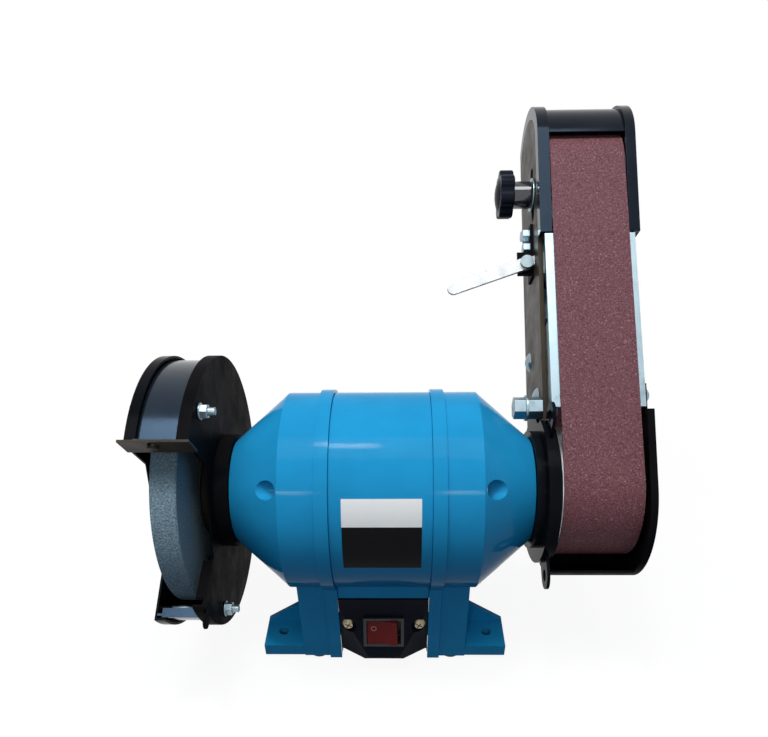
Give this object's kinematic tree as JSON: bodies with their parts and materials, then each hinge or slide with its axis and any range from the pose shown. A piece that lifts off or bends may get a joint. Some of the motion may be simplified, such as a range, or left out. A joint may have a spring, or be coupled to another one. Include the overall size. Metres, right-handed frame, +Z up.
{
  "type": "bench grinder with belt sander",
  "caption": "Bench grinder with a guarded wheel at one end of its motor and a swinging belt-sander arm with tension lever and tracking knob at the other.",
  "frame": {"origin": "on the bench under the rubber feet, below the middle of the motor", "axes": "+X along the shaft towards the belt arm, -Y towards the user, +Z up"},
  "size_m": [0.3207, 0.3004, 0.3287],
  "materials": {
    "blue_paint": "gloss blue paint on a die casting",
    "lamination": "stacked electrical sheet",
    "copper": "varnished winding wire",
    "zinc": "bright zinc plate",
    "steel": "turned steel",
    "black_paint": "gloss black paint on pressed sheet",
    "rubber": "moulded black rubber",
    "black_plastic": "moulded black plastic",
    "brass_screw": "yellow-passivated steel",
    "red_plastic": "translucent red plastic",
    "can": "moulded capacitor case",
    "terminal": "natural nylon",
    "paper": "blotting paper",
    "wheel_grain": "vitrified grey abrasive",
    "belt_grain": "red-brown abrasive on cloth",
    "drum_metal": "turned aluminium",
    "bronze": "sintered bronze"
  },
  "bodies": {
    "base": {"left_end_bell": "blue_paint", "right_end_bell": "blue_paint", "motor_shell": "blue_paint", "stator_core": "lamination", "stator_windings": "copper", "tie_bolts": "zinc", "bearing_outer_rings": "steel", "preload_washer": "steel", "bottom_plate": "black_paint", "rubber_feet": "rubber", "foot_screws": "zinc", "cord_grommet": "rubber", "switch_panel": "black_plastic", "panel_screws": "brass_screw", "switch_body": "black_plastic", "capacitor": "can", "terminal_block": "terminal", "guard_pan": "black_paint", "guard_band": "black_paint", "guard_cover": "black_paint", "guard_bolts": "zinc", "guard_screws": "zinc", "deflector_screw": "zinc", "pivot_ring": "steel", "pivot_screws": "zinc"},
    "rotor": {"shaft": "steel", "rotor_core": "lamination", "bearing_inner_rings": "steel", "wheel_flanges": "steel", "wheel_blotters": "paper", "grinding_wheel": "wheel_grain", "wheel_nut": "zinc", "drive_drum": "drum_metal", "drum_nut": "zinc"},
    "arm": {"arm_hub": "black_paint", "arm_plate": "black_paint", "plate_bolts": "zinc", "rest_bolt": "zinc", "platen": "zinc", "sanding_belt": "belt_grain", "top_cap": "black_paint", "cap_screws": "zinc", "drum_cover": "black_paint", "cover_screw": "zinc", "lever_bracket": "black_paint", "bracket_screws": "zinc", "lever_pin": "zinc", "spring_cup": "zinc", "tension_spring": "steel"},
    "carriage": {"idler_carriage": "zinc", "idler_axle": "steel", "axle_clip": "steel"},
    "idler": {"idler_roller": "drum_metal", "idler_bushes": "bronze"},
    "knob": {"tracking_knob": "black_plastic", "knob_stud": "zinc"},
    "lever": {"tension_lever": "zinc"},
    "rocker": {"rocker": "red_plastic"},
    "deflector": {"spark_deflector": "black_paint"}
  },
  "joints": [
    {"name": "shaft_spin", "type": "hinge", "parent": "base", "child": "rotor", "pos_m": [0, 0, 0.123], "axis": [1, 0, 0], "continuous": true},
    {"name": "arm_swing", "type": "hinge", "parent": "base", "child": "arm", "pos_m": [0, 0, 0.123], "axis": [1, 0, 0], "range_deg": [-45, 45]},
    {"name": "carriage_slide", "type": "slide", "parent": "arm", "child": "carriage", "axis": [0, 0.7071, 0.7071], "range_m": [-0.006, 0], "stiffness_N_per_m": 2000, "springref_m": 0.012, "deforming": ["tension_spring"]},
    {"name": "lever_turn", "type": "hinge", "parent": "arm", "child": "lever", "pos_m": [0.1, 0.102, 0.24303], "axis": [0, 0.7071, -0.7071], "range_deg": [-0.5, 30.5]},
    {"name": "idler_spin", "type": "hinge", "parent": "carriage", "child": "idler", "pos_m": [0.1388, 0.15676, 0.27976], "axis": [1, 0, 0], "continuous": true},
    {"name": "knob_turn", "type": "hinge", "parent": "carriage", "child": "knob", "pos_m": [0.09, 0.13753, 0.27892], "axis": [1, 0, 0], "range_deg": [-180, 180]},
    {"name": "rocker_turn", "type": "hinge", "parent": "base", "child": "rocker", "pos_m": [0, -0.04776, 0.03526], "axis": [0, 0.309, 0.9511], "range_deg": [0, 16]},
    {"name": "deflector_slide", "type": "slide", "parent": "base", "child": "deflector", "axis": [0, -0.5878, 0.809], "range_m": [-0.0035, 0.0035]}
  ],
  "couplings": [
    {"joint": "idler_spin", "follows": "shaft_spin", "ratio": 1.2853},
    {"joint": "lever_turn", "follows": "carriage_slide", "rad_per_m": -87.266}
  ]
}
